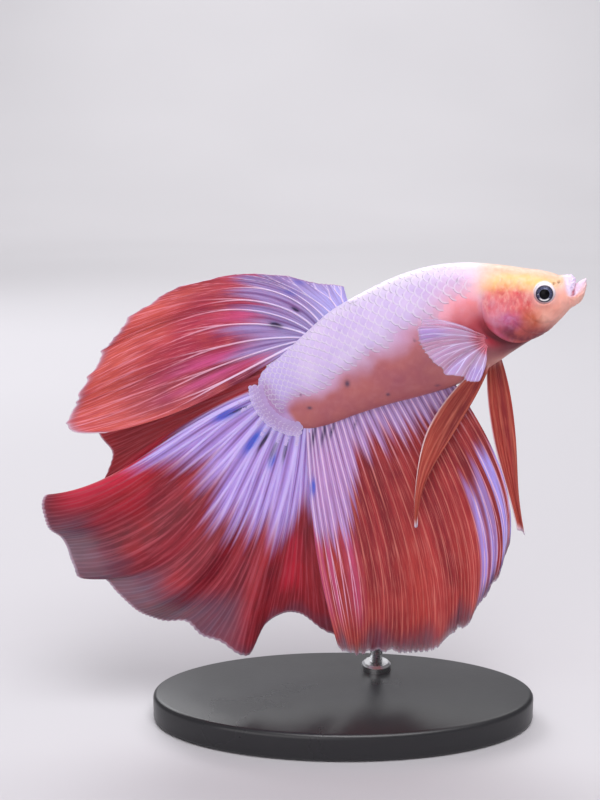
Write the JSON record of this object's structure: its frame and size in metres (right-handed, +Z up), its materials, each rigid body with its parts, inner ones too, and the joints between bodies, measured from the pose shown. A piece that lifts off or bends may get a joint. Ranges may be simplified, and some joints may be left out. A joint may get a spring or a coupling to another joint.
{
  "type": "betta fish model on display stand",
  "caption": "Life-size still model of a long-finned male betta fish, head up and fins spread, on a plain oval stand with a rod.",
  "frame": {"origin": "centre of the underside of the stand's base, which is at z = 0", "axes": "+Z up; +X towards the fish's head; the fish's right side faces -Y"},
  "size_m": [0.064, 0.024, 0.0577],
  "materials": {
    "head_skin": "moist smooth skin, cream to orange pink",
    "gill_cover_skin": "moist smooth skin, red with a purple sheen",
    "eye": "glossy, black pupil in a dark ring with a white rim",
    "scaled_skin": "moist scales, lavender white back, salmon belly",
    "red_fin": "thin translucent fin skin over pale rays",
    "lilac_red_fin": "thin translucent fin skin, lavender inside, deep red outside",
    "pelvic_fin": "thin brick red fin skin",
    "clear_fin": "nearly clear fin skin over white rays",
    "stand_plastic": "satin black",
    "stand_steel": "satin"
  },
  "bodies": {
    "root": {"head": "head_skin", "lower_jaw": "head_skin", "gill_cover_left": "gill_cover_skin", "gill_cover_right": "gill_cover_skin", "eye_left": "eye", "eye_right": "eye", "trunk": "scaled_skin", "tail_peduncle": "scaled_skin", "dorsal_fin": "red_fin", "caudal_fin": "lilac_red_fin", "anal_fin": "red_fin", "pelvic_fin_left": "pelvic_fin", "pelvic_fin_right": "pelvic_fin", "pectoral_fin_left": "clear_fin", "pectoral_fin_right": "clear_fin", "stand_base": "stand_plastic", "stand_rod": "stand_steel"}
  },
  "joints": []
}
